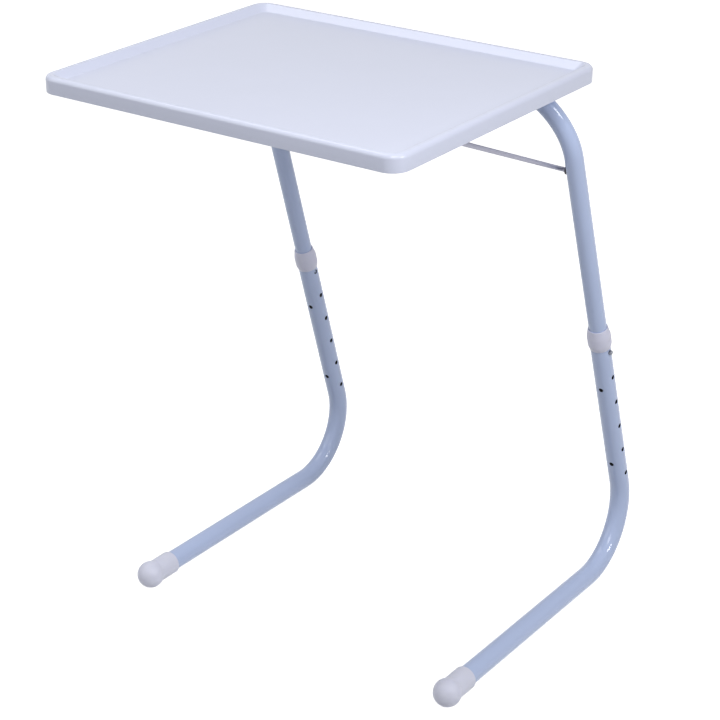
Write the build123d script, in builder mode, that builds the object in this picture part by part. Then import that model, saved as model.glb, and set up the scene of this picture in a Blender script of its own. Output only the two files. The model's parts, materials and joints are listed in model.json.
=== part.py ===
"""Folding tray table: a moulded tray on a U-shaped tube frame, with two telescoping legs.

Millimetres, +Z up. The origin is on the floor, under the middle of the table's box.
The user sits on the -Y side, where the feet point. Right is +X. The legs are at their longest setting,
the tray is level, and the prop under it sits in the rearmost notches of the tray's racks.
"""
import os
from math import asin, atan2, cos, degrees, hypot, radians, sin, sqrt, tan

from build123d import *

# Tray
TABLE_HEIGHT = 741.0
TRAY_WIDTH = 500.0
TRAY_DEPTH = 415.0
TRAY_SKIRT = 20.0
TRAY_CORNER = 22.0
TRAY_WALL = 2.5
TRAY_PLATE = 3.0
RIM_HEIGHT = 8.0
RIM_LAND = 9.0
RIM_SLOPE = 10.0
RIM_EDGE_FILLET = 5.5
RIM_INNER_FILLET = 2.0
RECESS_FILLET = 4.0
RECESS_CORNER = 7.0
SKIRT_FOOT_FILLET = 0.8

# Ribs and tilt racks under the tray: forward of the crossbar, and inward of the prop's arms
RIB_COUNT = 5
RIB_THICKNESS = 2.2
RIB_DEPTH = 5.0
RIB_FROM_ARM = 22.2
RIBS_START = 82.0
MIDDLE_RIB_BEFORE_NOTCH = 35.0
FRONT_RIB_INSET = 57.4
RACK_FROM_ARM = 62.2
RACK_WIDTH = 11.0
RACK_MARGIN = 13.0
NOTCH_START = 240.0
NOTCH_STEP = 22.0
NOTCH_COUNT = 3
NOTCH_DEPTH = 2.0
NOTCH_RUN = 18.0

# Upper frame
UPPER_OD = 23.2
UPPER_WALL = 1.2
FRAME_BEND = 100.0
CROSSBAR_INSET = 45.6
CROSSBAR_GAP = 0.5
TUBE_END_BELOW_BUTTON = 14.0

# Legs: lean is forward going up, splay is outward going down
LEAN = 17.5
SPLAY = 0.64
LEG_INSET = 12.0
LOWER_WALL = 1.2
HEEL_BEND = 85.0
FOOT_REACH = 342.0
LOWEST_HOLE = 19.7
HOLE_PITCH = 42.0
HOLE_COUNT = 6
STORAGE_HOLES = (20.7, 151.7)

# Foot caps
BALL_D = 36.0
BALL_FLAT = 0.4
CAP_WALL = 2.3
CAP_SLEEVE_END = 41.0
CAP_WEB = 4.0
CAP_LIP_FILLET = 1.4

# Leg collars
COLLAR_ABOVE_HOLE = 3.0
COLLAR_WALL = 2.2
COLLAR_FOOT_WALL = 0.7
COLLAR_MOUTH_WALL = 1.0
COLLAR_LENGTH = 31.3
COLLAR_TAPER = 6.0
COLLAR_HEAD = 12.0
COLLAR_LIP = 8.0
COLLAR_BARREL = 12.0
COLLAR_EDGE = 0.4

# Snap clips and guide bushes inside the tubes
BUTTON_D = 5.8
BUTTON_STANDS_OUT = 3.4
BUTTON_DOME = 1.6
LEAF_THICKNESS = 0.8
LEAF_WIDTH = 7.0
LEAF_LENGTH = 46.0
LEAF_TAIL = 5.0
LEAF_BEND = 3.0
BUSH_PLUG = 7.0
BUSH_FLANGE = 2.0
BUSH_WALL = 2.0

# Prop wire and its grommets
WIRE_D = 6.0
PROP_DROP = 116.8
PROP_END_BEND = 6.0
PROP_CORNER_BEND = 14.0
PROP_TAIL = 3.0
WIRE_BELOW_RIBS = 1.1
GROMMET_WALL = 1.3
GROMMET_LEDGE = 1.2
GROMMET_FLANGE = 1.4
GROMMET_REACH = 4.0

# Saddles that hold the tray on the crossbar
SADDLE_FROM_BEND = 47.8
SADDLE_WIDTH = 24.0
STRAP_THICKNESS = 3.0
STRAP_FOOT = 11.0
SCREW_FROM_RING = 1.8
SCREW_D = 4.0
SCREW_DEPTH = 8.0
SCREW_HEAD_D = 8.0
SCREW_HEAD = 2.6
SCREW_HEAD_CHAMFER = 0.9

# Clearances
TELESCOPE_FIT = 0.4
RUNNING_FIT = 0.1
SLIDE_FIT = 0.2
PRESS_FIT = 0.05
FREE_FIT = 0.3
SCREW_FIT = 0.15

# Folded pose: the prop and the tray stop this many degrees in front of the legs' plane
PROP_STOP = 4.5
TRAY_STOP = 4.0
LEAVING_FOLD = 2.0

# Derived places. The side view is worked out from the heel bend's centre, then shifted to the origin.
upper_r = UPPER_OD / 2
upper_bore = upper_r - UPPER_WALL
lower_bore = upper_r + TELESCOPE_FIT
lower_r = lower_bore + LOWER_WALL
wire_r = WIRE_D / 2
ball_r = BALL_D / 2
button_r = BUTTON_D / 2
hole_r = button_r + FREE_FIT
grommet_r = wire_r + GROMMET_WALL
crossbar_seat_r = upper_r + RUNNING_FIT
leg_x = TRAY_WIDTH / 2 - LEG_INSET
lean = radians(LEAN)
splay = radians(SPLAY)
heel_z = HEEL_BEND + lower_r
ball_z = ball_r - BALL_FLAT
foot_rise = asin(HEEL_BEND / hypot(FOOT_REACH, heel_z - ball_z)) - atan2(heel_z - ball_z, FOOT_REACH)
half_bend = (radians(90) - lean - foot_rise) / 2
leg_up = Vector(0, -sin(lean), cos(lean))
foot_out = Vector(0, -cos(foot_rise), sin(foot_rise))
corner_from_heel = (leg_up + foot_out).normalized() * (-HEEL_BEND / sin(half_bend))
corner_z = heel_z + corner_from_heel.Z

rim_z = TABLE_HEIGHT
plate_z = rim_z - RIM_HEIGHT
underside_z = plate_z - TRAY_PLATE
skirt_z = rim_z - TRAY_SKIRT
crossbar_z = underside_z - CROSSBAR_GAP - upper_r
crossbar_s = (crossbar_z - corner_z) / cos(lean)
crossbar_from_heel = corner_from_heel.Y - crossbar_s * sin(lean)
tray_front_from_heel = crossbar_from_heel + CROSSBAR_INSET - TRAY_DEPTH
table_front_from_heel = min(tray_front_from_heel, -FOOT_REACH - ball_r)
heel_y = -(table_front_from_heel + HEEL_BEND + lower_r) / 2

crossbar_y = heel_y + crossbar_from_heel
tray_y = heel_y + tray_front_from_heel + TRAY_DEPTH / 2
corner_y = heel_y + corner_from_heel.Y
ball_y = heel_y - FOOT_REACH

# The legs' plane: x across, y up along the lean. Each leg's axis starts at its virtual heel corner.
legs_plane = Plane(origin=(0, corner_y, corner_z), x_dir=(1, 0, 0), z_dir=(0, -cos(lean), -sin(lean)))
leg_corner = Vector(leg_x, corner_y, corner_z)
leg_axis = Vector(-sin(splay), -sin(lean) * cos(splay), cos(lean) * cos(splay))
leg_outward = Vector(cos(splay), -sin(lean) * sin(splay), cos(lean) * sin(splay))
leg_plane = Plane(origin=leg_corner, x_dir=leg_outward, z_dir=leg_axis)
ball_centre = Vector(leg_x, ball_y, ball_z)
foot_plane = Plane(origin=ball_centre, x_dir=(1, 0, 0), z_dir=-foot_out)

lowest_hole_s = HEEL_BEND / tan(half_bend) + LOWEST_HOLE
top_hole_s = lowest_hole_s + (HOLE_COUNT - 1) * HOLE_PITCH
tube_end_s = top_hole_s - TUBE_END_BELOW_BUTTON
collar_foot_s = top_hole_s + hole_r + COLLAR_ABOVE_HOLE
collar_top_s = collar_foot_s + COLLAR_LENGTH
leg_top_s = collar_top_s - COLLAR_LIP - SLIDE_FIT

button_plane = Plane(origin=leg_plane.offset(top_hole_s).origin, x_dir=leg_axis, z_dir=leg_outward)
clip_plane = Plane(origin=button_plane.origin, x_dir=leg_outward, z_dir=leg_outward.cross(leg_axis))
collar_plane = Plane(origin=leg_corner, x_dir=leg_outward, z_dir=leg_outward.cross(leg_axis))

# The prop's side view: it swings about its pivot, and its crosswire rests in a notch.
pivot_s = crossbar_s - PROP_DROP
pivot_x = leg_x - pivot_s * tan(splay)
pivot_y = corner_y - pivot_s * sin(lean)
pivot_z = corner_z + pivot_s * cos(lean)
notch_y = crossbar_y - NOTCH_START
wire_z = underside_z - RIB_DEPTH - WIRE_BELOW_RIBS - wire_r
prop_length = hypot(pivot_y - notch_y, wire_z - pivot_z)
prop_rise = atan2(wire_z - pivot_z, pivot_y - notch_y)
grommet_face_x = pivot_x - upper_r - GROMMET_FLANGE
pivot_plane = Plane(origin=(0, pivot_y, pivot_z), x_dir=(0, 1, 0), z_dir=(1, 0, 0))
arm_x = grommet_face_x - FREE_FIT - PROP_END_BEND
fold_angle = radians(90) + lean - radians(TRAY_STOP)
prop_swing = prop_rise + radians(90) + lean - radians(PROP_STOP)
fold_ratio = prop_swing / fold_angle


def wire_on_tray(fold):
    """Where the crosswire lies under the tray, forward of and above the crossbar, at a fold angle."""
    arm = prop_rise - fold_ratio * fold
    forward = crossbar_y - pivot_y + prop_length * cos(arm)
    up = pivot_z - crossbar_z + prop_length * sin(arm)
    return forward * cos(fold) - up * sin(fold), forward * sin(fold) + up * cos(fold)


# The wire leaves its notch along this slope, so each notch is a slot that opens that way.
leaving_forward, leaving_up = wire_on_tray(radians(LEAVING_FOLD))
notch_slope = atan2(wire_z - crossbar_z - leaving_up, leaving_forward - NOTCH_START)
notch_r = wire_r + FREE_FIT
rack_z = wire_z + notch_r - NOTCH_DEPTH
rack_x = arm_x - RACK_FROM_ARM
rib_spacing = 2 * (arm_x - RIB_FROM_ARM) / (RIB_COUNT - 1)
middle_rib = NOTCH_START - MIDDLE_RIB_BEFORE_NOTCH
front_rib = TRAY_DEPTH - CROSSBAR_INSET - FRONT_RIB_INSET

# The frame's top corners, and the saddles on the straight part of the crossbar
frame_top_x = leg_x - crossbar_s * tan(splay)
crossbar_half = frame_top_x - FRAME_BEND * tan((radians(90) - splay) / 2)
saddle_x = crossbar_half - SADDLE_FROM_BEND
strap_r = crossbar_seat_r + STRAP_THICKNESS
screw_offset = strap_r + SCREW_FROM_RING + SCREW_HEAD_D / 2
saddle_reach = strap_r + SCREW_FROM_RING + STRAP_FOOT

os.makedirs("parts", exist_ok=True)


def mirrored(plane):
    """The same plane on the other side of the table."""
    flipped = [Vector(-v.X, v.Y, v.Z) for v in (plane.origin, plane.x_dir, plane.z_dir)]
    return Plane(origin=flipped[0], x_dir=flipped[1], z_dir=flipped[2])


def tray_outline(inset, corner):
    """A rounded rectangle inside the tray's edge."""
    RectangleRounded(TRAY_WIDTH - 2 * inset, TRAY_DEPTH - 2 * inset, corner)


def finish(builder, name):
    """Label a finished piece and write it."""
    builder.part.label = name
    export_step(builder.part, f"parts/{name}.step")


def finish_pair(builder, name):
    """Write a right-hand piece and its mirror image on the left."""
    finish(builder, f"{name}_right")
    with BuildPart() as left:
        mirror(builder.part, about=Plane.YZ)
    finish(left, f"{name}_left")


def tray_plane(z):
    """A level plane at height z, centred on the tray."""
    return Plane(origin=(0, tray_y, z))


# Tray: rim, recess and hollow underside
with BuildPart() as tray_top:
    with BuildSketch(tray_plane(skirt_z)):
        tray_outline(0, TRAY_CORNER)
    extrude(amount=TRAY_SKIRT)
    rim_edges = tray_top.faces().sort_by(Axis.Z)[-1].edges()
    fillet(rim_edges, RIM_EDGE_FILLET)
    with BuildSketch(tray_plane(rim_z)):
        tray_outline(RIM_LAND, TRAY_CORNER - RIM_LAND)
    with BuildSketch(tray_plane(plate_z)):
        tray_outline(RIM_LAND + RIM_SLOPE, RECESS_CORNER)
    loft(mode=Mode.SUBTRACT)
    plate_face = tray_top.faces().filter_by(Axis.Z).sort_by(SortBy.AREA)[-2:].sort_by(Axis.Z)[-1]
    fillet(plate_face.edges(), RECESS_FILLET)
    rim_land = tray_top.faces().filter_by(Axis.Z).sort_by(Axis.Z)[-1]
    fillet(rim_land.inner_wires()[0].edges(), RIM_INNER_FILLET)

    # Hollow below the plate, and a channel up under the rim
    with BuildSketch(tray_plane(skirt_z)):
        tray_outline(TRAY_WALL, TRAY_CORNER - TRAY_WALL)
    extrude(amount=underside_z - skirt_z, mode=Mode.SUBTRACT)
    with BuildSketch(tray_plane(underside_z)):
        tray_outline(TRAY_WALL, TRAY_CORNER - TRAY_WALL)
        with Locations((0, 0)):
            RectangleRounded(
                TRAY_WIDTH - 2 * RIM_LAND,
                TRAY_DEPTH - 2 * RIM_LAND,
                TRAY_CORNER - RIM_LAND,
                mode=Mode.SUBTRACT,
            )
    extrude(amount=RIM_HEIGHT, mode=Mode.SUBTRACT)
    skirt_foot = tray_top.faces().filter_by(Axis.Z).sort_by(Axis.Z)[0]
    fillet(skirt_foot.outer_wire().edges(), SKIRT_FOOT_FILLET)

    # Ribs: lengthways ones run from the first cross rib to the front wall
    ribs_back_y = crossbar_y - RIBS_START
    front_wall_y = tray_y - TRAY_DEPTH / 2 + TRAY_WALL / 2
    with BuildSketch(Plane.XY.offset(underside_z)):
        with Locations((0, (ribs_back_y + front_wall_y) / 2)):
            with GridLocations(rib_spacing, 0, RIB_COUNT, 1):
                Rectangle(RIB_THICKNESS, ribs_back_y - front_wall_y)
        for forward in (RIBS_START, middle_rib, front_rib):
            with Locations((0, crossbar_y - forward)):
                Rectangle((RIB_COUNT - 1) * rib_spacing + RIB_THICKNESS, RIB_THICKNESS)
    extrude(amount=-RIB_DEPTH)

    # Tilt racks with notches that open forward and down
    rack_length = (NOTCH_COUNT - 1) * NOTCH_STEP + 2 * RACK_MARGIN
    rack_y = notch_y - (NOTCH_COUNT - 1) * NOTCH_STEP / 2
    with BuildSketch(Plane.XY.offset(underside_z)):
        with Locations((-rack_x, rack_y), (rack_x, rack_y)):
            Rectangle(RACK_WIDTH, rack_length)
    extrude(amount=rack_z - underside_z)
    with BuildSketch(Plane.YZ):
        for step in range(NOTCH_COUNT):
            seat = (notch_y - step * NOTCH_STEP, wire_z)
            mouth = (seat[0] - NOTCH_RUN * cos(notch_slope), seat[1] - NOTCH_RUN * sin(notch_slope))
            middle = ((seat[0] + mouth[0]) / 2, (seat[1] + mouth[1]) / 2)
            with Locations(Location((middle[0], middle[1], 0), (0, 0, degrees(notch_slope)))):
                SlotCenterToCenter(NOTCH_RUN, 2 * notch_r)
    extrude(amount=rack_x + RACK_WIDTH, both=True, mode=Mode.SUBTRACT)

    # Saddle blocks over the crossbar, with blind holes for the strap's screws
    with BuildSketch(Plane.XY.offset(crossbar_z)):
        with Locations((-saddle_x, crossbar_y), (saddle_x, crossbar_y)):
            Rectangle(SADDLE_WIDTH, 2 * saddle_reach)
    extrude(amount=underside_z - crossbar_z)
    with BuildSketch(Plane.YZ):
        with Locations((crossbar_y, crossbar_z)):
            Circle(crossbar_seat_r)
    extrude(amount=saddle_x + SADDLE_WIDTH, both=True, mode=Mode.SUBTRACT)
    with BuildSketch(Plane.XY.offset(crossbar_z)):
        with Locations((-saddle_x, crossbar_y), (saddle_x, crossbar_y)):
            with Locations((0, -screw_offset), (0, screw_offset)):
                Circle(SCREW_D / 2 + SCREW_FIT)
    extrude(amount=SCREW_DEPTH, mode=Mode.SUBTRACT)
finish(tray_top, "tray_top")

# Saddle strap: a half ring under the crossbar with a screwed foot each side
with BuildPart() as saddle_strap:
    with BuildSketch(Plane.YZ.offset(saddle_x)):
        with Locations((crossbar_y, crossbar_z)):
            Circle(strap_r)
            Rectangle(2 * saddle_reach, 2 * STRAP_THICKNESS)
            Circle(crossbar_seat_r, mode=Mode.SUBTRACT)
            Rectangle(2 * saddle_reach, strap_r, align=(Align.CENTER, Align.MIN), mode=Mode.SUBTRACT)
    extrude(amount=SADDLE_WIDTH / 2, both=True)
    with Locations(Plane(origin=(saddle_x, crossbar_y, crossbar_z))):
        with Locations((0, -screw_offset, 0), (0, screw_offset, 0)):
            Hole(SCREW_D / 2 + SCREW_FIT, depth=2 * STRAP_THICKNESS)
finish_pair(saddle_strap, "saddle_strap")

# Saddle screws: four pan heads under the straps' feet
with BuildPart() as saddle_screws:
    head_z = crossbar_z - STRAP_THICKNESS
    with Locations((-saddle_x, crossbar_y, head_z), (saddle_x, crossbar_y, head_z)):
        with Locations((0, -screw_offset, 0), (0, screw_offset, 0)):
            Cylinder(SCREW_HEAD_D / 2, SCREW_HEAD, align=(Align.CENTER, Align.CENTER, Align.MAX))
            Cylinder(
                SCREW_D / 2,
                STRAP_THICKNESS + SCREW_DEPTH - SCREW_FIT,
                align=(Align.CENTER, Align.CENTER, Align.MIN),
            )
    chamfer(saddle_screws.faces().filter_by(Axis.Z).group_by(Axis.Z)[0].edges(), SCREW_HEAD_CHAMFER)
finish(saddle_screws, "saddle_screws")

# Upper frame: one tube bent into a U in the legs' plane
frame_foot_x = leg_x - tube_end_s * sin(splay)
frame_foot_y = tube_end_s * cos(splay)
with BuildPart() as upper_frame:
    with BuildLine(legs_plane) as frame_path:
        FilletPolyline(
            (frame_foot_x, frame_foot_y),
            (frame_top_x, crossbar_s),
            (-frame_top_x, crossbar_s),
            (-frame_foot_x, frame_foot_y),
            radius=FRAME_BEND,
        )
    with BuildSketch(leg_plane.offset(tube_end_s)):
        Circle(upper_r)
        Circle(upper_bore, mode=Mode.SUBTRACT)
    sweep(path=frame_path.wires()[0])
    for side in (button_plane, mirrored(button_plane)):
        with BuildSketch(side):
            Circle(hole_r)
        extrude(amount=UPPER_OD, mode=Mode.SUBTRACT)
    with BuildSketch(pivot_plane):
        Circle(grommet_r + PRESS_FIT)
    extrude(amount=pivot_x, both=True, mode=Mode.SUBTRACT)
finish(upper_frame, "upper_frame")

# Grommet: a flanged bush in the tube's inner wall, with its flange hollowed to sit on the round tube
with BuildPart() as prop_grommet:
    with BuildSketch(pivot_plane.offset(grommet_face_x)):
        Circle(grommet_r + GROMMET_LEDGE)
    extrude(amount=upper_r)
    with BuildSketch(leg_plane.offset(pivot_s / cos(splay) - upper_r)):
        Circle(upper_r)
    extrude(amount=UPPER_OD, mode=Mode.SUBTRACT)
    with BuildSketch(pivot_plane.offset(grommet_face_x)):
        Circle(grommet_r)
    extrude(amount=GROMMET_FLANGE + GROMMET_REACH)
    with BuildSketch(pivot_plane):
        Circle(wire_r + RUNNING_FIT)
    extrude(amount=leg_x, mode=Mode.SUBTRACT)
finish_pair(prop_grommet, "prop_grommet")

# Guide bush: a hollow plug in the tube's lower end, with a flange that runs in the lower leg
with BuildPart() as guide_bush:
    with BuildSketch(leg_plane.offset(tube_end_s)):
        Circle(lower_bore - SLIDE_FIT)
    extrude(amount=-BUSH_FLANGE)
    with BuildSketch(leg_plane.offset(tube_end_s)):
        Circle(upper_bore - PRESS_FIT)
    extrude(amount=BUSH_PLUG)
    with BuildSketch(leg_plane.offset(tube_end_s - BUSH_FLANGE)):
        Circle(upper_bore - BUSH_WALL)
    extrude(amount=BUSH_FLANGE + BUSH_PLUG, mode=Mode.SUBTRACT)
finish_pair(guide_bush, "guide_bush")

# Snap clip: a V of spring strip inside the tube, with the button drawn out of its longer limb
leaf_x = sqrt((upper_bore - FREE_FIT) ** 2 - (LEAF_WIDTH / 2) ** 2) - LEAF_THICKNESS / 2
with BuildPart() as snap_clip:
    with BuildLine(clip_plane) as leaf_path:
        FilletPolyline(
            (leaf_x, -LEAF_TAIL),
            (leaf_x, LEAF_TAIL),
            (0, LEAF_LENGTH),
            (-leaf_x, LEAF_TAIL),
            (-leaf_x + LEAF_BEND / 2, -LEAF_TAIL / 2),
            radius=LEAF_BEND,
        )
    with BuildSketch(Plane(origin=leaf_path.wires()[0] @ 0, x_dir=clip_plane.z_dir, z_dir=leg_axis)):
        Rectangle(LEAF_WIDTH, LEAF_THICKNESS)
    sweep(path=leaf_path.wires()[0])
    with BuildSketch(button_plane.offset(leaf_x)):
        Circle(button_r)
    extrude(amount=lower_r + BUTTON_STANDS_OUT - leaf_x)
    button_rim = snap_clip.faces().sort_by(Axis.X)[-1].edges()
    fillet(button_rim, BUTTON_DOME)
finish_pair(snap_clip, "snap_clip")

# Prop wire: a U-shaped bail, sprung into the grommets by its turned ends
prop_tail_x = grommet_face_x + GROMMET_FLANGE + UPPER_WALL + PROP_TAIL
with BuildPart() as prop_wire:
    with BuildLine() as prop_path:
        FilletPolyline(
            (prop_tail_x, pivot_y, pivot_z),
            (arm_x, pivot_y, pivot_z),
            (arm_x, notch_y, wire_z),
            (-arm_x, notch_y, wire_z),
            (-arm_x, pivot_y, pivot_z),
            (-prop_tail_x, pivot_y, pivot_z),
            radius=(PROP_END_BEND, PROP_CORNER_BEND, PROP_CORNER_BEND, PROP_END_BEND),
        )
    with BuildSketch(Plane(origin=(prop_tail_x, pivot_y, pivot_z), z_dir=(-1, 0, 0))):
        Circle(wire_r)
    sweep(path=prop_path.wires()[0])
finish(prop_wire, "prop_wire")

# Leg collar: a barrel-shaped bush over the leg's top, drawn in at its foot and towards its mouth
collar_bore = lower_r + RUNNING_FIT
collar_mouth = upper_r + FREE_FIT
with BuildPart() as leg_collar:
    with BuildSketch(collar_plane):
        with BuildLine():
            FilletPolyline(
                (collar_bore, collar_foot_s),
                (lower_r + COLLAR_FOOT_WALL, collar_foot_s),
                (lower_r + COLLAR_WALL, collar_foot_s + COLLAR_TAPER),
                (lower_r + COLLAR_WALL, collar_top_s - COLLAR_HEAD),
                (collar_mouth + COLLAR_MOUTH_WALL, collar_top_s),
                (collar_mouth, collar_top_s),
                radius=(COLLAR_EDGE, COLLAR_BARREL, COLLAR_BARREL, COLLAR_EDGE),
            )
            Polyline(
                (collar_mouth, collar_top_s),
                (collar_mouth, collar_top_s - COLLAR_LIP),
                (collar_bore, collar_top_s - COLLAR_LIP),
                (collar_bore, collar_foot_s),
            )
        make_face()
    revolve(axis=Axis(leg_corner, leg_axis))
finish_pair(leg_collar, "leg_collar")

# Lower leg: an L of tube with through holes for height and for storage
foot_end = ball_centre - foot_out * CAP_WEB
with BuildPart() as lower_leg:
    with BuildLine() as leg_path:
        FilletPolyline(leg_plane.offset(leg_top_s).origin, leg_corner, foot_end, radius=HEEL_BEND)
    with BuildSketch(Plane(origin=leg_path.wires()[0] @ 0, x_dir=leg_outward, z_dir=-leg_axis)):
        Circle(lower_r)
        Circle(lower_bore, mode=Mode.SUBTRACT)
    sweep(path=leg_path.wires()[0])
    with BuildSketch(Plane(origin=leg_corner, x_dir=leg_axis, z_dir=leg_outward)):
        for step in range(HOLE_COUNT):
            with Locations((lowest_hole_s + step * HOLE_PITCH, 0)):
                Circle(hole_r)
    extrude(amount=2 * lower_r, both=True, mode=Mode.SUBTRACT)
    with BuildSketch(Plane(origin=leg_corner, x_dir=leg_axis, z_dir=leg_plane.y_dir)):
        for rise in STORAGE_HOLES:
            with Locations((lowest_hole_s + rise, 0)):
                Circle(hole_r)
    extrude(amount=2 * lower_r, both=True, mode=Mode.SUBTRACT)
finish_pair(lower_leg, "lower_leg")

# Foot cap: a ball on a sleeve, bored for the tube, with a small flat where it stands
with BuildPart() as foot_cap:
    with BuildSketch(foot_plane):
        Circle(lower_r + CAP_WALL)
    extrude(amount=CAP_SLEEVE_END)
    fillet(foot_cap.edges().sort_by(Axis.Y)[-1], CAP_LIP_FILLET)
    with Locations(foot_plane):
        Sphere(ball_r)
    with BuildSketch(foot_plane.offset(CAP_WEB)):
        Circle(lower_r + PRESS_FIT)
    extrude(amount=CAP_SLEEVE_END, mode=Mode.SUBTRACT)
    with Locations((leg_x, ball_y, 0)):
        Box(BALL_D, BALL_D, BALL_D, align=(Align.CENTER, Align.CENTER, Align.MAX), mode=Mode.SUBTRACT)
finish_pair(foot_cap, "foot_cap")
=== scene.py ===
"""Looks of the folding tray table: fine meshes, finishes, studio and camera.

Metres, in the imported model's frame: +Z up, the user on the -Y side, right is +X.
The table's lengths are written in millimetres times MM, the studio's in metres. Left and right pieces come
from the same functions.
"""
import json
from math import asin, atan2, ceil, cos, pi, radians, sin, sqrt, tan

import bmesh
import bpy
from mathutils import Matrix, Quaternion, Vector


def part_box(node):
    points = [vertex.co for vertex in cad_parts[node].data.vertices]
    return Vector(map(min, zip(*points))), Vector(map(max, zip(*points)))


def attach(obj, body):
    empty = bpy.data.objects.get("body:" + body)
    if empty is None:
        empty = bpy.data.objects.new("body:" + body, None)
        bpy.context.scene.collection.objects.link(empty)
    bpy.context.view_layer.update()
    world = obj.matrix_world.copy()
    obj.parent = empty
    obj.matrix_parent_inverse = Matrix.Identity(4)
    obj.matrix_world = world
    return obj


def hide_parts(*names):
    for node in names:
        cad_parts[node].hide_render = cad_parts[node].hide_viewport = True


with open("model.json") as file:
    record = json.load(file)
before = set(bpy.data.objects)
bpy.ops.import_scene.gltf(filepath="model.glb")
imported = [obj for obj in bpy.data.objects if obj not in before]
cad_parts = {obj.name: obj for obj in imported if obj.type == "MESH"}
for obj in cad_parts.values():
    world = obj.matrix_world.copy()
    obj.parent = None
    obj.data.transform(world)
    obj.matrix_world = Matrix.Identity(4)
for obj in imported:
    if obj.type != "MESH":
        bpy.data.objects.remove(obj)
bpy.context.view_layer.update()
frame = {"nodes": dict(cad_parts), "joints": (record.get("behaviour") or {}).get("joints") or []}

MM = 0.001
SIDES = ("left", "right")

# Tray
TRAY_SKIRT = 20 * MM
TRAY_CORNER = 22 * MM
TRAY_WALL = 2.5 * MM
TRAY_PLATE = 3 * MM
RIM_HEIGHT = 8 * MM
RIM_LAND = 9 * MM
RIM_SLOPE = 10 * MM
RIM_EDGE = 5.5 * MM
RIM_INNER_EDGE = 2 * MM
RECESS_EDGE = 4 * MM
RECESS_CORNER = 7 * MM
SMALLEST_CORNER = 2 * MM
SKIRT_EDGE = 0.8 * MM
HOLLOW_EDGE = 1.2 * MM
PLATE_MARGIN = 6 * MM
CORNER_STEPS = 14

# Ribs, racks, saddles, straps and screws under the tray
RIB_FORWARD = (82 * MM, 205 * MM, 312 * MM)
RIB_FROM_ARM = 22.2 * MM
RIB_COUNT = 5
RIB_DEPTH = 5 * MM
RIB_BASE = 2.2 * MM
RIB_TIP = 1.5 * MM
RACK_FROM_ARM = 62.2 * MM
RACK_WIDTH = 11 * MM
RACK_MARGIN = 13 * MM
NOTCH_STEP = 22 * MM
NOTCH_COUNT = 3
NOTCH_RADIUS = 3.3 * MM
NOTCH_DEPTH = 2 * MM
NOTCH_SLOPE = radians(34)
NOTCH_STEPS = 8
SADDLE_X = 83.04 * MM
SADDLE_WIDTH = 24 * MM
SADDLE_REACH = 27.5 * MM
SADDLE_SEAT = 11.7 * MM
SEAT_STEPS = 20
STRAP_THICKNESS = 3 * MM
MOULDED_EDGE = 0.5 * MM
MOULDED_CORNER = radians(30)
SCREW_OFFSET = 20.5 * MM
SCREW_HEAD_R = 4 * MM
SCREW_HEAD = 2.6 * MM
SCREW_DOME = 1.56 * MM
SCREW_NECK_EDGE = 0.2 * MM
SCREW_SEAT_EDGE = 0.3 * MM
SCREW_SHANK_R = 1.9 * MM
SCREW_LENGTH = 10 * MM
SCREW_STEP = radians(15)
CROSS_REACH = 2.3 * MM
CROSS_HALF_WIDTH = 0.55 * MM
CROSS_DEPTH = 1.3 * MM
CROSS_TAPER = 0.6
SMALL_SIDES = 32

# Tubes and the prop wire
UPPER_R = 11.6 * MM
UPPER_BORE = 10.4 * MM
LOWER_R = 13.2 * MM
LOWER_BORE = 12 * MM
FRAME_BEND = 100 * MM
HEEL_BEND = 85 * MM
BEND_STEP = radians(3)
FINE_STEP = radians(9)
TUBE_SIDES = 48
HOLE_CELLS = 4
HOLE_EDGE = 0.45 * MM
ON_PATH = 0.01 * MM
WIRE_R = 3 * MM
WIRE_SIDES = 24
WIRE_END_BEND = 6 * MM
WIRE_CORNER_BEND = 14 * MM
WIRE_END_EDGE = 0.8 * MM
ARM_INSET = 19.3 * MM
GROMMET_HOLE_R = 4.35 * MM

# Along each leg, from its heel corner upward
LOWEST_HOLE = 137.2 * MM
HOLE_PITCH = 42 * MM
HOLE_COUNT = 6
STORAGE_HOLES = (157.9 * MM, 288.9 * MM)
HOLE_R = 3.2 * MM
HOLE_LIP_R = 1.8 * MM
TUBE_END = 333.2 * MM
COLLAR_FOOT = 353.4 * MM
COLLAR_LENGTH = 31.3 * MM
LEG_TOP = 376.5 * MM

# Collars, foot caps and snap buttons
COLLAR_R = 15.4 * MM
COLLAR_FOOT_R = 13.9 * MM
COLLAR_MOUTH_R = 12.9 * MM
COLLAR_TAPER = 6 * MM
COLLAR_HEAD = 12 * MM
COLLAR_LIP = 8 * MM
COLLAR_BARREL = 12 * MM
COLLAR_LEG_GAP = 0.1 * MM
COLLAR_TUBE_GAP = 0.3 * MM
COLLAR_FOOT_EDGES = (0.2 * MM, 0.3 * MM)
COLLAR_MOUTH_EDGES = (0.4 * MM, 0.3 * MM)
COLLAR_STEP = radians(6)
BALL_R = 18 * MM
BALL_FLAT = 0.4 * MM
BALL_STEPS = 32
CAP_SLEEVE_R = 15.5 * MM
CAP_SLEEVE_END = 41 * MM
CAP_WEB = 4 * MM
CAP_NECK = 9 * MM
NECK_STEPS = 8
NECK_RUN = 1 * MM
CAP_LIP = 1.4 * MM
LIP_STEP = radians(18)
LATHE_SIDES = 72
BUTTON_R = 2.9 * MM
BUTTON_TIP = 16.6 * MM
BUTTON_DOME = 1.6 * MM
LEAF_X = 9.1 * MM
LEAF_WIDTH = 7 * MM
LEAF_THICKNESS = 0.8 * MM
LEAF_LENGTH = 46 * MM
LEAF_TAIL = 5 * MM
LEAF_BEND = 3 * MM

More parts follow.
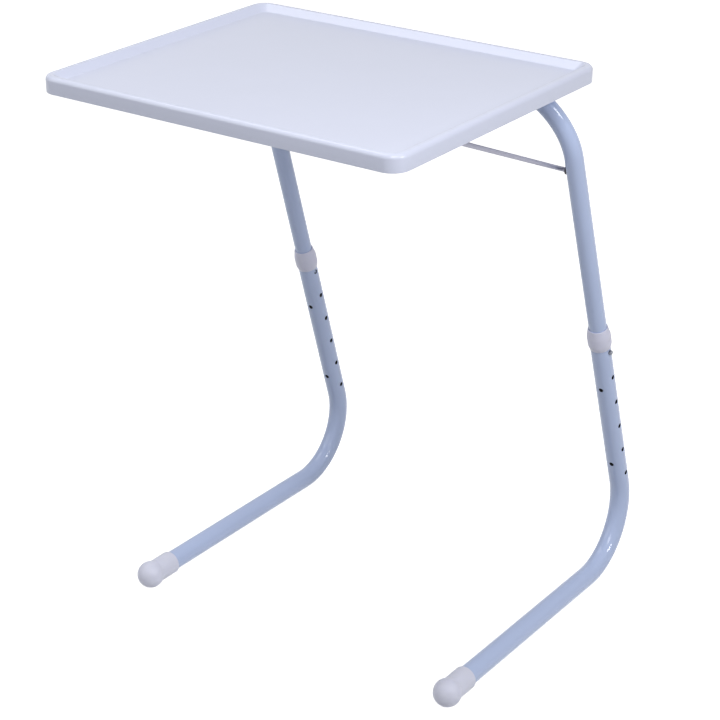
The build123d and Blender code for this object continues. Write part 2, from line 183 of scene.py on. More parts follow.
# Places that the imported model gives
joints = {joint["name"]: joint for joint in frame["joints"]}
crossbar = Vector(joints["tray_fold"]["pos_m"])
pivot = Vector(joints["prop_swing"]["pos_m"])
wire_low, wire_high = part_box("prop_wire")
crosswire = Vector((0, wire_low.y + WIRE_R, wire_high.z - WIRE_R))
tray_low, tray_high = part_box("tray_top")
tray_middle = (tray_low + tray_high) / 2
rim_z = tray_high.z
plate_z = rim_z - RIM_HEIGHT
underside_z = plate_z - TRAY_PLATE
skirt_z = rim_z - TRAY_SKIRT
top_hole = LOWEST_HOLE + (HOLE_COUNT - 1) * HOLE_PITCH
leg_up = {side: Vector(joints[f"{side}_height"]["axis"]) for side in SIDES}
leg_outward = {side: -Vector(joints[f"{side}_button"]["axis"]) for side in SIDES}
leg_corner = {side: Vector(joints[f"{side}_turn"]["pos_m"]) for side in SIDES}


def on_leg(side, rise):
    """A point on a leg's axis, this far up from its heel corner."""
    return leg_corner[side] + leg_up[side] * rise


def leg_x_at(side, z):
    """Where a leg's axis is, across the table, at height z."""
    return on_leg(side, (z - leg_corner[side].z) / leg_up[side].z).x


arm_x = leg_x_at("right", pivot.z) - ARM_INSET


# Materials

def add_node(tree, kind, inputs=None, **settings):
    """A new shader node with its settings, values and links."""
    made = tree.nodes.new(kind)
    for name, value in settings.items():
        setattr(made, name, value)
    for name, value in (inputs or {}).items():
        if isinstance(value, bpy.types.NodeSocket):
            tree.links.new(value, made.inputs[name])
        else:
            made.inputs[name].default_value = value
    return made


def srgb(red, green, blue):
    """A linear colour from screen values of 0 to 255."""
    def linear(value):
        value /= 255
        return value / 12.92 if value <= 0.04045 else ((value + 0.055) / 1.055) ** 2.4
    return (linear(red), linear(green), linear(blue), 1)


def shade(colour, factor):
    """A colour made lighter or darker."""
    return tuple(min(1, part * factor) for part in colour[:3]) + (1,)


def noise(tree, scale, detail, stretch=(1, 1, 1)):
    """Noise in the object's own space. Scale is in features to the metre."""
    place = add_node(tree, "ShaderNodeTexCoord").outputs["Object"]
    place = add_node(tree, "ShaderNodeMapping", {"Vector": place, "Scale": stretch}).outputs["Vector"]
    made = add_node(tree, "ShaderNodeTexNoise", {"Vector": place, "Scale": scale, "Detail": detail})
    return made.outputs["Fac"]


def spread(tree, value, low, high):
    """A 0 to 1 value mapped to a range."""
    made = add_node(tree, "ShaderNodeMapRange", {"Value": value, "To Min": low, "To Max": high})
    return made.outputs["Result"]


def blend(tree, factor, first, second):
    """Two colours mixed by a factor."""
    return add_node(tree, "ShaderNodeMix", {0: factor, 6: first, 7: second}, data_type="RGBA").outputs[2]


COLOUR_DETAIL = 4
GLOSS_DETAIL = 5
GLOSS_FINENESS = 2.3
GRAIN_DETAIL = 2
GRAIN_STRENGTH = 0.6
WAVE_DETAIL = 1


def finish(name, colour, rough, mottle, grain, wave=None, stretch=(1, 1, 1), **constants):
    """A procedural finish: mottled colour, uneven gloss, fine grain and a slow wave in the surface.

    rough is a range. mottle is (features to the metre, how far the colour swings), and grain and wave are
    (features to the metre, depth). The constants are sockets of the shader.
    """
    made = bpy.data.materials.new(name)
    made.use_nodes = True
    tree = made.node_tree
    shader = tree.nodes["Principled BSDF"]
    mottle_scale, swing = mottle
    patches = noise(tree, mottle_scale, COLOUR_DETAIL, stretch)
    tint = blend(tree, patches, shade(colour, 1 - swing), shade(colour, 1 + swing))
    tree.links.new(tint, shader.inputs["Base Color"])
    smudges = noise(tree, mottle_scale * GLOSS_FINENESS, GLOSS_DETAIL, stretch)
    tree.links.new(spread(tree, smudges, *rough), shader.inputs["Roughness"])
    grain_scale, grain_depth = grain
    height = noise(tree, grain_scale, GRAIN_DETAIL, stretch)
    bump = add_node(
        tree, "ShaderNodeBump", {"Height": height, "Distance": grain_depth, "Strength": GRAIN_STRENGTH})
    if wave:
        wave_scale, wave_depth = wave
        swell = noise(tree, wave_scale, WAVE_DETAIL)
        slow = add_node(tree, "ShaderNodeBump", {"Height": swell, "Distance": wave_depth})
        tree.links.new(slow.outputs["Normal"], bump.inputs["Normal"])
    tree.links.new(bump.outputs["Normal"], shader.inputs["Normal"])
    for socket, value in constants.items():
        shader.inputs[socket.replace("_", " ")].default_value = value
    return made


TRAY_COLOUR = srgb(214, 219, 240)
PAINT_COLOUR = srgb(193, 208, 243)
COLLAR_COLOUR = srgb(221, 222, 243)
CAP_COLOUR = srgb(226, 228, 246)
WIRE_COLOUR = srgb(172, 172, 190)
STRAP_COLOUR = shade(TRAY_COLOUR, 0.92)
BORE_COLOUR = srgb(20, 22, 30)
GROMMET_COLOUR = srgb(44, 44, 50)
CLIP_COLOUR = srgb(118, 121, 130)
SCREW_COLOUR = srgb(176, 176, 180)
SOFT_PLASTIC = {
    "Subsurface_Weight": 0.12, "Subsurface_Radius": (3 * MM, 3 * MM, 4 * MM), "Subsurface_Scale": 1,
}

tray_plastic = finish(
    "tray_plastic", TRAY_COLOUR, rough=(0.225, 0.27), mottle=(9, 0.015), grain=(1400, 0.02 * MM),
    wave=(22, 0.1 * MM), Specular_IOR_Level=0.45)
strap_plastic = finish(
    "strap_plastic", STRAP_COLOUR, rough=(0.4, 0.52), mottle=(40, 0.03), grain=(1400, 0.03 * MM))
tube_paint = finish(
    "tube_paint", PAINT_COLOUR, rough=(0.2, 0.27), mottle=(14, 0.03), grain=(420, 0.035 * MM),
    wave=(60, 0.03 * MM), Specular_IOR_Level=0.05, Coat_Weight=0.5, Coat_Roughness=0.06)
tube_bore = finish(
    "tube_bore", BORE_COLOUR, rough=(0.55, 0.8), mottle=(60, 0.3), grain=(900, 0.05 * MM), Metallic=0.4)
prop_steel = finish(
    "prop_steel", WIRE_COLOUR, rough=(0.28, 0.42), mottle=(30, 0.05), grain=(900, 0.03 * MM),
    stretch=(0.2, 1, 1), Metallic=0.35)
collar_plastic = finish(
    "collar_plastic", COLLAR_COLOUR, rough=(0.36, 0.5), mottle=(50, 0.025), grain=(1200, 0.03 * MM),
    **SOFT_PLASTIC)
cap_plastic = finish(
    "cap_plastic", CAP_COLOUR, rough=(0.38, 0.56), mottle=(45, 0.04), grain=(1000, 0.04 * MM), **SOFT_PLASTIC)
grommet_black = finish(
    "grommet_black", GROMMET_COLOUR, rough=(0.45, 0.6), mottle=(90, 0.2), grain=(1300, 0.04 * MM))
clip_steel = finish(
    "clip_steel", CLIP_COLOUR, rough=(0.25, 0.4), mottle=(120, 0.12), grain=(1600, 0.02 * MM), Metallic=0.9)
screw_steel = finish(
    "screw_steel", SCREW_COLOUR, rough=(0.22, 0.38), mottle=(150, 0.1), grain=(1800, 0.02 * MM), Metallic=1.0)


# Mesh tools

def loop_faces(bm, first, second, material=0):
    """A band of quads between two closed loops of points."""
    for i in range(len(first)):
        band = bm.faces.new((first[i - 1], first[i], second[i], second[i - 1]))
        band.material_index = material


def as_mesh(bm, name):
    """A mesh with what a bmesh holds. The bmesh is freed."""
    mesh = bpy.data.meshes.new(name)
    bm.to_mesh(mesh)
    bm.free()
    return mesh


def add_object(name, data):
    """A new object in the scene."""
    made = bpy.data.objects.new(name, data)
    bpy.context.scene.collection.objects.link(made)
    return made


def make_piece(name, bm, body, slot, materials, *nodes, sharp=35):
    """An object from a mesh, which rides on a body and stands for these CAD nodes."""
    bmesh.ops.recalc_face_normals(bm, faces=bm.faces)
    mesh = as_mesh(bm, name)
    mesh.shade_smooth()
    mesh.set_sharp_from_angle(angle=radians(sharp))
    for material in materials:
        mesh.materials.append(material)
    made = add_object(name, mesh)
    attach(made, body)
    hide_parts(*nodes)


def rounded_path(corners, radii, across, step=BEND_STEP):
    """Stations (point, direction, across) along straight runs joined by arcs. across turns with the path."""
    direction = (corners[1] - corners[0]).normalized()
    path = [(corners[0], direction, across)]
    for before, corner, after, radius in zip(corners, corners[1:], corners[2:], radii):
        back = (before - corner).normalized()
        ahead = (after - corner).normalized()
        turn = pi - back.angle(ahead)
        start = corner + back * radius * tan(turn / 2)
        centre = corner + (back + ahead).normalized() * radius / cos(turn / 2)
        axis = ahead.cross(back)
        steps = ceil(turn / step)
        for i in range(steps + 1):
            part = Quaternion(axis, turn * i / steps)
            path.append((centre + part @ (start - centre), part @ -back, part @ across))
        across = part @ across
        direction = ahead
    path.append((corners[-1], direction, across))
    return path


def round_section(radius, sides):
    """Points round a circle."""
    return [(radius * cos(2 * pi * i / sides), radius * sin(2 * pi * i / sides)) for i in range(sides)]


END_ROUNDING = [radians(a) for a in (0, 30, 60, 85)]


def sweep(bm, path, section, end_edge=0):
    """A solid bar with this section along a path. end_edge rounds its two ends."""
    def loop(station, shrink=1, shift=0):
        point, direction, across = station
        side = direction.cross(across)
        end = direction * shift
        return [bm.verts.new(point + (across * x + side * y) * shrink + end) for x, y in section]

    reach = max(sqrt(x * x + y * y) for x, y in section)
    rounding = END_ROUNDING if end_edge else [0]
    head = [loop(path[0], 1 - (1 - cos(a)) * end_edge / reach, end_edge * (1 - sin(a))) for a in rounding]
    tail = [loop(path[-1], 1 - (1 - cos(a)) * end_edge / reach, end_edge * (sin(a) - 1)) for a in rounding]
    loops = head[::-1] + [loop(station) for station in path[1:-1]] + tail
    for first, second in zip(loops, loops[1:]):
        loop_faces(bm, first, second)
    bm.faces.new(loops[0])
    bm.faces.new(loops[-1])


def lathe(bm, origin, axis, across, profile, sides=LATHE_SIDES):
    """A turned solid. profile is (radius, distance along the axis); a radius of 0 closes it."""
    side = axis.cross(across)
    loops = []
    for radius, along in profile:
        if radius == 0:
            loops.append([bm.verts.new(origin + axis * along)])
            continue
        points = round_section(radius, sides)
        loops.append([bm.verts.new(origin + axis * along + across * x + side * y) for x, y in points])
    for first, second in zip(loops, loops[1:]):
        if len(first) == 1:
            first, second = second, first
        if len(second) == 1:
            for i in range(sides):
                bm.faces.new((first[i - 1], first[i], second[0]))
        else:
            loop_faces(bm, first, second)
    if len(loops[0]) > 1 and len(loops[-1]) > 1:
        loop_faces(bm, loops[-1], loops[0])


def rounded_profile(corners, radii, step=FINE_STEP):
    """A flat outline (x, z) with rounded corners, as a list of pairs."""
    points = [Vector((x, 0, z)) for x, z in corners]
    return [(point.x, point.z) for point, _, _ in rounded_path(points, radii, Vector((0, 1, 0)), step)]


def prism(bm, outline, x, width):
    """A moulded block: a flat outline (y, z) drawn out across the table, with soft edges."""
    block = bmesh.new()
    near = [block.verts.new((x - width / 2, y, z)) for y, z in outline]
    far = [block.verts.new((x + width / 2, y, z)) for y, z in outline]
    loop_faces(block, near, far)
    block.faces.new(near)
    block.faces.new(far)
    bmesh.ops.recalc_face_normals(block, faces=block.faces)
    corners = [edge for edge in block.edges if edge.calc_face_angle() > MOULDED_CORNER]
    bmesh.ops.bevel(block, geom=corners, offset=MOULDED_EDGE, segments=2, affect="EDGES", clamp_overlap=True)
    merge(bm, block)


def merge(bm, other):
    """Put another mesh's shells into this one."""
    mesh = as_mesh(other, "shell")
    bm.from_mesh(mesh)
    bpy.data.meshes.remove(mesh)


# A tube with round holes: each hole takes a square patch of the wall's grid

PATCH = (
    [(-HOLE_CELLS, j) for j in range(-HOLE_CELLS, HOLE_CELLS)]
    + [(i, HOLE_CELLS) for i in range(-HOLE_CELLS, HOLE_CELLS)]
    + [(HOLE_CELLS, -j) for j in range(-HOLE_CELLS, HOLE_CELLS)]
    + [(-i, -HOLE_CELLS) for i in range(-HOLE_CELLS, HOLE_CELLS)]
)
HOLE_ROUNDING = [radians(a) for a in (0, 30, 60, 90)]


def add_stations(path, points):
    """Put a station at each of these points into the path's straight runs."""
    for point in points:
        for i in range(len(path) - 1):
            start, direction, across = path[i]
            along = (point - start).dot(direction)
            aside = (point - start - direction * along).length
            if ON_PATH < along < (path[i + 1][0] - start).length and aside < ON_PATH:
                path.insert(i + 1, (point, direction, across))
                break


def tube_wall(bm, path, radius, holes, edge, material):
    """One wall of a tube, and the rims of its holes.

    A hole is (point on the axis, turn from the path's across, radius). edge is (growth, sink) for each
    loop of a hole's rim.
    """
    rows = []
    for point, direction, across in path:
        side = direction.cross(across)
        section = round_section(radius, TUBE_SIDES)
        rows.append([bm.verts.new(point + across * x + side * y) for x, y in section])
    open_cells = set()
    rims = []
    for centre, turn, hole_r in holes:
        row = min(range(len(path)), key=lambda i: (path[i][0] - centre).length)
        point, direction, across = path[row]
        facing = Quaternion(direction, turn) @ across
        side = direction.cross(facing)
        first = round(turn / (2 * pi) * TUBE_SIDES)
        loop = [rows[row + i][(first + j) % TUBE_SIDES] for i, j in PATCH]
        for growth, sink in edge:
            reach = hole_r + growth
            rim = []
            for i, j in PATCH:
                angle = atan2(j, i)
                along, around = reach * cos(angle), reach * sin(angle)
                out = sqrt(radius ** 2 - around ** 2) - sink
                rim.append(bm.verts.new(point + direction * along + facing * out + side * around))
            loop_faces(bm, loop, rim, material)
            loop = rim
        rims.append(loop)
        cells = range(-HOLE_CELLS, HOLE_CELLS)
        open_cells.update((row + i, (first + j) % TUBE_SIDES) for i in cells for j in cells)
    for i in range(len(rows) - 1):
        for j in range(TUBE_SIDES):
            if (i, j) not in open_cells:
                after = (j + 1) % TUBE_SIDES
                cell = bm.faces.new((rows[i][j], rows[i][after], rows[i + 1][after], rows[i + 1][j]))
                cell.material_index = material
    return rows, rims


def tube(bm, path, outer, bore, holes):
    """A tube along a path. A hole is (point on the axis, turn, radius, radius inside)."""
    cell = 2 * pi * outer / TUBE_SIDES
    for centre, _, _, _ in holes:
        direction = min(path, key=lambda station: (station[0] - centre).length)[1]
        reach = range(-HOLE_CELLS, HOLE_CELLS + 1)
        add_stations(path, [centre + direction * cell * i for i in reach])
    rolled = [(HOLE_EDGE * (1 - sin(a)), HOLE_EDGE * (1 - cos(a))) for a in HOLE_ROUNDING]
    outer_holes = [(centre, turn, radius) for centre, turn, radius, _ in holes]
    inner_holes = [(centre, turn, radius) for centre, turn, _, radius in holes]
    outside, rims = tube_wall(bm, path, outer, outer_holes, rolled, 0)
    inside, bores = tube_wall(bm, path, bore, inner_holes, [(0, 0)], 1)
    for rim, bore_rim in zip(rims, bores):
        loop_faces(bm, rim, bore_rim, 1)
    for end in (0, -1):
        loop_faces(bm, outside[end], inside[end])
    bmesh.ops.delete(bm, geom=[point for point in bm.verts if not point.link_faces], context="VERTS")


# Tray

def tray_loop(inset, z):
    """The tray's outline, this far in from its edge, with corners that tighten towards the plate."""
    land = min(inset, RIM_LAND)
    slope = max(0, inset - RIM_LAND)
    tighter = slope * (TRAY_CORNER - RIM_LAND - RECESS_CORNER) / RIM_SLOPE
    corner = max(TRAY_CORNER - land - tighter, SMALLEST_CORNER)
    half = (tray_high - tray_low) / 2 - Vector((inset, inset, 0))
    points = []
    for quarter in range(4):
        middle_x = (half.x - corner) * (1 if quarter in (0, 3) else -1)
        middle_y = (half.y - corner) * (1 if quarter in (0, 1) else -1)
        for i in range(CORNER_STEPS + 1):
            angle = (quarter + i / CORNER_STEPS) * pi / 2
            x = tray_middle.x + middle_x + corner * cos(angle)
            points.append((x, tray_middle.y + middle_y + corner * sin(angle), z))
    return points


def tray_shell(bm):
    """The plate, rim, skirt and hollow underside, as one profile carried round the tray's outline."""
    recess = RIM_LAND + RIM_SLOPE
    channel_z = rim_z - TRAY_PLATE
    profile = rounded_profile(
        [
            (recess + PLATE_MARGIN, plate_z), (recess, plate_z), (RIM_LAND, rim_z), (0, rim_z), (0, skirt_z),
            (TRAY_WALL, skirt_z), (TRAY_WALL, channel_z), (RIM_LAND, channel_z), (RIM_LAND, underside_z),
            (recess + PLATE_MARGIN, underside_z),
        ],
        [RECESS_EDGE, RIM_INNER_EDGE, RIM_EDGE, SKIRT_EDGE, SKIRT_EDGE, HOLLOW_EDGE, HOLLOW_EDGE, SKIRT_EDGE],
    )
    loops = [[bm.verts.new(point) for point in tray_loop(inset, z)] for inset, z in profile]
    for first, second in zip(loops, loops[1:]):
        loop_faces(bm, first, second)
    bm.faces.new(loops[0])
    bm.faces.new(loops[-1])


def rib(bm, start, end):
    """A drafted stiffening rib with a rounded tip, hanging from the plate."""
    down = RIB_DEPTH - RIB_TIP / 2
    tip = [(RIB_TIP / 2 * cos(a), -down - RIB_TIP / 2 * sin(a)) for a in map(radians, (0, 45, 90, 135, 180))]
    section = [(-RIB_BASE / 2, TRAY_PLATE / 2), (RIB_BASE / 2, TRAY_PLATE / 2), (RIB_BASE / 2, 0), *tip]
    section.append((-RIB_BASE / 2, 0))
    direction = (end - start).normalized()
    across = Vector((0, 0, 1)).cross(direction)
    sweep(bm, [(start, direction, across), (end, direction, across)], [(-x, z) for x, z in section])


def rack_outline():
    """A tilt rack seen from the side: a bar with notches that open forward and down."""
    rack_z = crosswire.z + NOTCH_RADIUS - NOTCH_DEPTH
    back = crosswire.y + RACK_MARGIN
    front = crosswire.y - (NOTCH_COUNT - 1) * NOTCH_STEP - RACK_MARGIN
    outline = [(back, underside_z + TRAY_PLATE / 2), (back, rack_z)]
    first = asin((rack_z - crosswire.z) / NOTCH_RADIUS)
    last = pi / 2 + NOTCH_SLOPE
    for notch in range(NOTCH_COUNT):
        seat = crosswire.y - notch * NOTCH_STEP
        for i in range(NOTCH_STEPS + 1):
            angle = first + (last - first) * i / NOTCH_STEPS
            outline.append((seat + NOTCH_RADIUS * cos(angle), crosswire.z + NOTCH_RADIUS * sin(angle)))
        run = (outline[-1][1] - rack_z) / tan(NOTCH_SLOPE)
        outline.append((outline[-1][0] - run, rack_z))
    return outline + [(front, rack_z), (front, underside_z + TRAY_PLATE / 2)]


def saddle_outline():
    """A saddle block seen from the side, with its round seat over the crossbar."""
    over = [pi * i / SEAT_STEPS for i in range(SEAT_STEPS + 1)]
    seat = [(SADDLE_SEAT * cos(a), SADDLE_SEAT * sin(a)) for a in over]
    top = underside_z + TRAY_PLATE / 2 - crossbar.z
    outline = [(-SADDLE_REACH, 0), (-SADDLE_REACH, top), (SADDLE_REACH, top), (SADDLE_REACH, 0), *seat]
    return [(crossbar.y + y, crossbar.z + z) for y, z in outline]


def build_tray():
    """The moulded tray: shell, ribs both ways, tilt racks and saddles."""
    bm = bmesh.new()
    tray_shell(bm)
    rib_half = arm_x - RIB_FROM_ARM
    ribs_back = crossbar.y - RIB_FORWARD[0]
    ribs_front = tray_low.y + TRAY_WALL / 2
    for i in range(RIB_COUNT):
        x = rib_half * (2 * i / (RIB_COUNT - 1) - 1)
        rib(bm, Vector((x, ribs_back, underside_z)), Vector((x, ribs_front, underside_z)))
    for forward in RIB_FORWARD:
        y = crossbar.y - forward
        rib(bm, Vector((-rib_half, y, underside_z)), Vector((rib_half, y, underside_z)))
    for sign in (-1, 1):
        prism(bm, rack_outline(), sign * (arm_x - RACK_FROM_ARM), RACK_WIDTH)
        prism(bm, saddle_outline(), sign * SADDLE_X, SADDLE_WIDTH)
    make_piece("tray", bm, "tray", "tray_plastic", [tray_plastic], "tray_top", sharp=50)


def build_straps():
    """A half ring under the crossbar with a foot each side."""
    outer = SADDLE_SEAT + STRAP_THICKNESS
    foot = asin(STRAP_THICKNESS / outer)
    steps = range(SEAT_STEPS + 1)
    under = [pi + foot + (pi - 2 * foot) * i / SEAT_STEPS for i in steps]
    over = [2 * pi - pi * i / SEAT_STEPS for i in steps]
    outline = [(-SADDLE_REACH, 0), (-SADDLE_REACH, -STRAP_THICKNESS)]
    outline += [(outer * cos(a), outer * sin(a)) for a in under]
    outline += [(SADDLE_REACH, -STRAP_THICKNESS), (SADDLE_REACH, 0)]
    outline += [(SADDLE_SEAT * cos(a), SADDLE_SEAT * sin(a)) for a in over]
    placed = [(crossbar.y + y, crossbar.z + z) for y, z in outline]
    for side, sign in zip(SIDES, (-1, 1)):
        bm = bmesh.new()
        prism(bm, placed, sign * SADDLE_X, SADDLE_WIDTH)
        name = f"saddle_strap_{side}"
        make_piece(f"strap_{side}", bm, "tray", "strap_plastic", [strap_plastic], name)


build_tray()
build_straps()


# Upper frame, prop wire and legs

def build_frame():
    """The U of tube, with the two holes that the prop's grommets sit in."""
    corners = [on_leg("right", TUBE_END)]
    for side in ("right", "left"):
        corners.append(on_leg(side, (crossbar.z - leg_corner[side].z) / leg_up[side].z))
    corners.append(on_leg("left", TUBE_END))
    path = rounded_path(corners, [FRAME_BEND] * 2, leg_outward["right"])
    holes = []
    for side in SIDES:
        rise = (pivot.z - leg_corner[side].z) / leg_up[side].z
        holes.append((on_leg(side, rise), pi, GROMMET_HOLE_R, GROMMET_HOLE_R))
    bm = bmesh.new()
    tube(bm, path, UPPER_R, UPPER_BORE, holes)
    make_piece("frame_tube", bm, "frame", "tube_paint", [tube_paint, tube_bore], "upper_frame", sharp=60)


def build_prop():
    """The wire bail: two turned-out ends, two arms and the crosswire."""
    corners = [
        Vector((wire_high.x, pivot.y, pivot.z)),
        Vector((arm_x, pivot.y, pivot.z)),
        Vector((arm_x, crosswire.y, crosswire.z)),
        Vector((-arm_x, crosswire.y, crosswire.z)),
        Vector((-arm_x, pivot.y, pivot.z)),
        Vector((wire_low.x, pivot.y, pivot.z)),
    ]
    radii = [WIRE_END_BEND, WIRE_CORNER_BEND, WIRE_CORNER_BEND, WIRE_END_BEND]
    bm = bmesh.new()
    path = rounded_path(corners, radii, Vector((0, 0, 1)), FINE_STEP)
    sweep(bm, path, round_section(WIRE_R, WIRE_SIDES), WIRE_END_EDGE)
    make_piece("prop", bm, "prop", "prop_steel", [prop_steel], "prop_wire", sharp=60)


def ball_centre(side):
    """The middle of a foot's ball."""
    low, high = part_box(f"foot_cap_{side}")
    return Vector(((low.x + high.x) / 2, low.y + BALL_R, BALL_R - BALL_FLAT))


def build_leg(side):
    """A bent tube with its two rows of holes.

    The inward ends of the side row, and the storage holes, narrow inside, so that no light shows through.
    """
    ball = ball_centre(side)
    foot_out = (ball - leg_corner[side]).normalized()
    corners = [on_leg(side, LEG_TOP), leg_corner[side], ball - foot_out * CAP_WEB]
    path = rounded_path(corners, [HEEL_BEND], leg_outward[side])
    holes = []
    for step in range(HOLE_COUNT):
        place = on_leg(side, LOWEST_HOLE + step * HOLE_PITCH)
        holes += [(place, 0, HOLE_R, HOLE_R), (place, pi, HOLE_R, HOLE_LIP_R)]
    for rise in STORAGE_HOLES:
        holes += [(on_leg(side, rise), turn, HOLE_R, HOLE_LIP_R) for turn in (pi / 2, 3 * pi / 2)]
    bm = bmesh.new()
    tube(bm, path, LOWER_R, LOWER_BORE, holes)
    name = f"lower_leg_{side}"
    make_piece(f"leg_tube_{side}", bm, f"leg_{side}", "tube_paint", [tube_paint, tube_bore], name, sharp=60)


def build_cap(side):
    """A ball that flows into a sleeve, flattened a little where it stands."""
    ball = ball_centre(side)
    towards_leg = (leg_corner[side] - ball).normalized()
    across = Vector((1, 0, 0))
    neck_r = CAP_SLEEVE_R + CAP_NECK
    neck_along = sqrt((BALL_R + CAP_NECK) ** 2 - neck_r ** 2)
    meet = atan2(neck_r, neck_along)
    profile = [(0, -BALL_R)]
    for i in range(1, BALL_STEPS + 1):
        angle = pi - (pi - meet) * i / BALL_STEPS
        profile.append((BALL_R * sin(angle), BALL_R * cos(angle)))
    for i in range(1, NECK_STEPS + 1):
        angle = meet + (pi / 2 - meet) * i / NECK_STEPS
        profile.append((neck_r - CAP_NECK * sin(angle), neck_along - CAP_NECK * cos(angle)))
    lip = rounded_profile(
        [
            (CAP_SLEEVE_R, neck_along + NECK_RUN), (CAP_SLEEVE_R, CAP_SLEEVE_END), (LOWER_R, CAP_SLEEVE_END),
            (LOWER_R, CAP_WEB),
        ],
        [CAP_LIP, CAP_LIP / 2], LIP_STEP)
    profile += lip + [(0, CAP_WEB)]
    bm = bmesh.new()
    lathe(bm, ball, towards_leg, across, profile)
    for point in bm.verts:
        point.co.z = max(point.co.z, 0)
    make_piece(f"cap_{side}", bm, f"leg_{side}", "cap_plastic", [cap_plastic], f"foot_cap_{side}")


def build_collar(side):
    """A barrel over the leg's top, drawn in at its foot and towards its mouth."""
    inner = LOWER_R + COLLAR_LEG_GAP
    mouth = UPPER_R + COLLAR_TUBE_GAP
    lip_along = COLLAR_LENGTH - COLLAR_LIP
    profile = rounded_profile(
        [
            (inner, lip_along), (inner, 0), (COLLAR_FOOT_R, 0), (COLLAR_R, COLLAR_TAPER),
            (COLLAR_R, COLLAR_LENGTH - COLLAR_HEAD), (COLLAR_MOUTH_R, COLLAR_LENGTH), (mouth, COLLAR_LENGTH),
            (mouth, lip_along),
        ],
        [*COLLAR_FOOT_EDGES, COLLAR_BARREL, COLLAR_BARREL, *COLLAR_MOUTH_EDGES], COLLAR_STEP)
    bm = bmesh.new()
    lathe(bm, on_leg(side, COLLAR_FOOT), leg_up[side], leg_outward[side], profile)
    name = f"leg_collar_{side}"
    make_piece(f"collar_{side}", bm, f"collar_{side}", "collar_plastic", [collar_plastic], name)


def build_snap(side):
    """The button on its own, so that it can sink, and the leaf spring that stays in the tube."""
    seat = on_leg(side, top_hole)
    up, outward = leg_up[side], leg_outward[side]
    profile = rounded_profile([(BUTTON_R, LEAF_X), (BUTTON_R, BUTTON_TIP), (0, BUTTON_TIP)], [BUTTON_DOME])
    bm = bmesh.new()
    lathe(bm, seat, outward, up, [(0, LEAF_X)] + profile, SMALL_SIDES)
    name = f"snap_clip_{side}"
    make_piece(f"button_{side}", bm, f"button_{side}", "clip_steel", [clip_steel], name)
    corners = [
        seat + outward * LEAF_X - up * LEAF_TAIL,
        seat + outward * LEAF_X + up * LEAF_TAIL,
        seat + up * LEAF_LENGTH,
        seat - outward * LEAF_X + up * LEAF_TAIL,
        seat - outward * (LEAF_X - LEAF_BEND / 2) - up * LEAF_TAIL / 2,
    ]
    half_width, half_thickness = LEAF_WIDTH / 2, LEAF_THICKNESS / 2
    section = [
        (-half_thickness, -half_width), (half_thickness, -half_width), (half_thickness, half_width),
        (-half_thickness, half_width),
    ]
    bm = bmesh.new()
    sweep(bm, rounded_path(corners, [LEAF_BEND] * 3, outward, FINE_STEP), section)
    make_piece(f"leaf_{side}", bm, "frame", "clip_steel", [clip_steel], name)


build_frame()
build_prop()
for leg_side in SIDES:
    build_leg(leg_side)
    build_cap(leg_side)
    build_collar(leg_side)
    build_snap(leg_side)


# Saddle screws: pan heads with a cross recess

def cut(mesh, blade_mesh):
    """A mesh with another taken out of it."""
    whole = add_object("whole", mesh)
    blade = add_object("blade", blade_mesh)
    step = whole.modifiers.new("cut", "BOOLEAN")
    step.object = blade
    step.use_self = True
    result = bmesh.new()
    result.from_object(whole, bpy.context.evaluated_depsgraph_get())
    for made in (whole, blade):
        bpy.data.objects.remove(made)
    return result


def screw(bm, centre):
    """One screw, head down, with a cross cut into its dome."""
    down = Vector((0, 0, -1))
    crown = rounded_profile(
        [
            (SCREW_SHANK_R, -SCREW_LENGTH), (SCREW_SHANK_R, 0), (SCREW_HEAD_R, 0), (SCREW_HEAD_R, SCREW_HEAD),
            (CROSS_REACH, SCREW_HEAD),
        ],
        [SCREW_NECK_EDGE, SCREW_SEAT_EDGE, SCREW_DOME], SCREW_STEP)
    body = bmesh.new()
    profile = [(0, -SCREW_LENGTH)] + crown + [(0, SCREW_HEAD)]
    lathe(body, centre, down, Vector((1, 0, 0)), profile, SMALL_SIDES)
    cross = bmesh.new()
    for length, width in ((CROSS_REACH, CROSS_HALF_WIDTH), (CROSS_HALF_WIDTH, CROSS_REACH)):
        for point in bmesh.ops.create_cube(cross, size=2)["verts"]:
            x, y, z = point.co
            taper, depth = (CROSS_TAPER, -CROSS_DEPTH) if z > 0 else (1, CROSS_DEPTH)
            point.co = centre + Vector((x * length * taper, y * width, 0)) + down * (SCREW_HEAD + depth)
    merge(bm, cut(as_mesh(body, "screw"), as_mesh(cross, "cross")))


def build_screws():
    """Two screws through each strap."""
    bm = bmesh.new()
    for x in (-SADDLE_X, SADDLE_X):
        for y in (-SCREW_OFFSET, SCREW_OFFSET):
            screw(bm, crossbar + Vector((x, y, -STRAP_THICKNESS)))
    make_piece("screws", bm, "tray", "screw_steel", [screw_steel], "saddle_screws")


build_screws()

# CAD pieces that show as they are
for cad_side in SIDES:
    for node, finish_of_node in (("prop_grommet", grommet_black), ("guide_bush", collar_plastic)):
        shown = frame["nodes"][f"{node}_{cad_side}"].data
        shown.materials.clear()
        shown.materials.append(finish_of_node)


# Studio

CAMERA_PLACE = Vector((1.3016, -1.8278, 1.3820))
CAMERA_YAW = radians(35.492)
CAMERA_PITCH = radians(-24.881)
CAMERA_LENS = 97.47
CAMERA_SENSOR = 36
FLOOR_SIZE = 40
FLOOR_CELLS = 8
FLOOR_DROP = 0.2 * MM
FLOOR_GLOW = 0.95
FLOOR_COLOUR = (0.6, 0.6, 0.6, 1)
FLOOR_ROUGHNESS = 0.9
FLOOR_SPECULAR = 0.1
WHITE = (1, 1, 1, 1)
AMBIENT = 0.1
LAMP_TARGET = Vector((0, 0, 0.55))

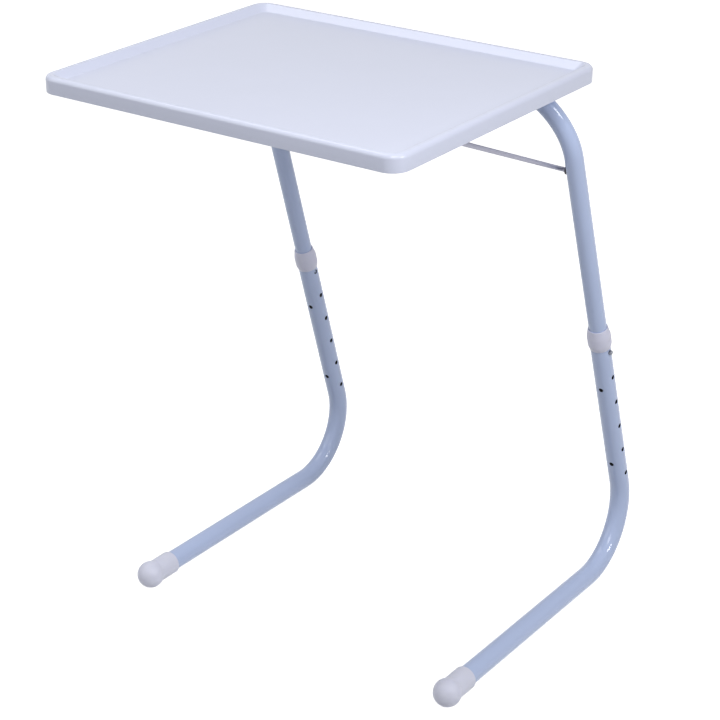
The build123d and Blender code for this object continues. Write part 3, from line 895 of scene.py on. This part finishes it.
# Soft boxes: place, power in watts, size
LAMPS = {
    "right": ((4.5, 0, 3.15), 98, 1.2),
    "front_right": ((0.8, -0.8, 1.68), 9.9, 0.65),
    "front_left": ((-1.1, -1.1, 1.45), 8.5, 1.2),
    "left": ((-1.3, 0, 2.8), 14.6, 1.2),
}


def seen_directly(tree):
    """1 for rays from the camera, from gloss and through glass, which all show the plain background."""
    path = add_node(tree, "ShaderNodeLightPath").outputs
    seen = path["Is Camera Ray"]
    for kind in ("Is Glossy Ray", "Is Transmission Ray"):
        seen = add_node(tree, "ShaderNodeMath", {0: seen, 1: path[kind]}, operation="MAXIMUM").outputs[0]
    return seen


def build_floor():
    """A pale floor that shows white to the camera and still takes the shadow."""
    bm = bmesh.new()
    bmesh.ops.create_grid(bm, x_segments=FLOOR_CELLS, y_segments=FLOOR_CELLS, size=FLOOR_SIZE / 2)
    floor = add_object("floor", as_mesh(bm, "floor"))
    floor.location.z = -FLOOR_DROP
    made = bpy.data.materials.new("floor_white")
    made.use_nodes = True
    tree = made.node_tree
    shader = tree.nodes["Principled BSDF"]
    shader.inputs["Base Color"].default_value = FLOOR_COLOUR
    shader.inputs["Roughness"].default_value = FLOOR_ROUGHNESS
    shader.inputs["Specular IOR Level"].default_value = FLOOR_SPECULAR
    shader.inputs["Emission Color"].default_value = WHITE
    glow = spread(tree, seen_directly(tree), 0, FLOOR_GLOW)
    tree.links.new(glow, shader.inputs["Emission Strength"])
    floor.data.materials.append(made)


def build_world():
    """A white background, with less of it to light the table."""
    world = bpy.data.worlds.new("studio")
    bpy.context.scene.world = world
    world.use_nodes = True
    tree = world.node_tree
    back = tree.nodes["Background"]
    back.inputs["Color"].default_value = WHITE
    tree.links.new(spread(tree, seen_directly(tree), AMBIENT, 1), back.inputs["Strength"])


def area_light(name, place, power, size):
    """A soft box that faces the middle of the table."""
    lamp = bpy.data.lights.new(name, "AREA")
    lamp.size = size
    lamp.energy = power
    made = add_object(name, lamp)
    made.location = place
    made.rotation_euler = (LAMP_TARGET - Vector(place)).to_track_quat("-Z", "Y").to_euler()


def build_camera():
    """The photo's view."""
    data = bpy.data.cameras.new("camera")
    data.sensor_width = CAMERA_SENSOR
    data.lens = CAMERA_LENS
    camera = add_object("camera", data)
    camera.location = CAMERA_PLACE
    camera.rotation_euler = (pi / 2 + CAMERA_PITCH, 0, CAMERA_YAW)
    bpy.context.scene.camera = camera


build_floor()
build_world()
for lamp_name, (lamp_place, lamp_power, lamp_size) in LAMPS.items():
    area_light(lamp_name, lamp_place, lamp_power, lamp_size)
build_camera()
bpy.context.scene.view_settings.view_transform = "Standard"
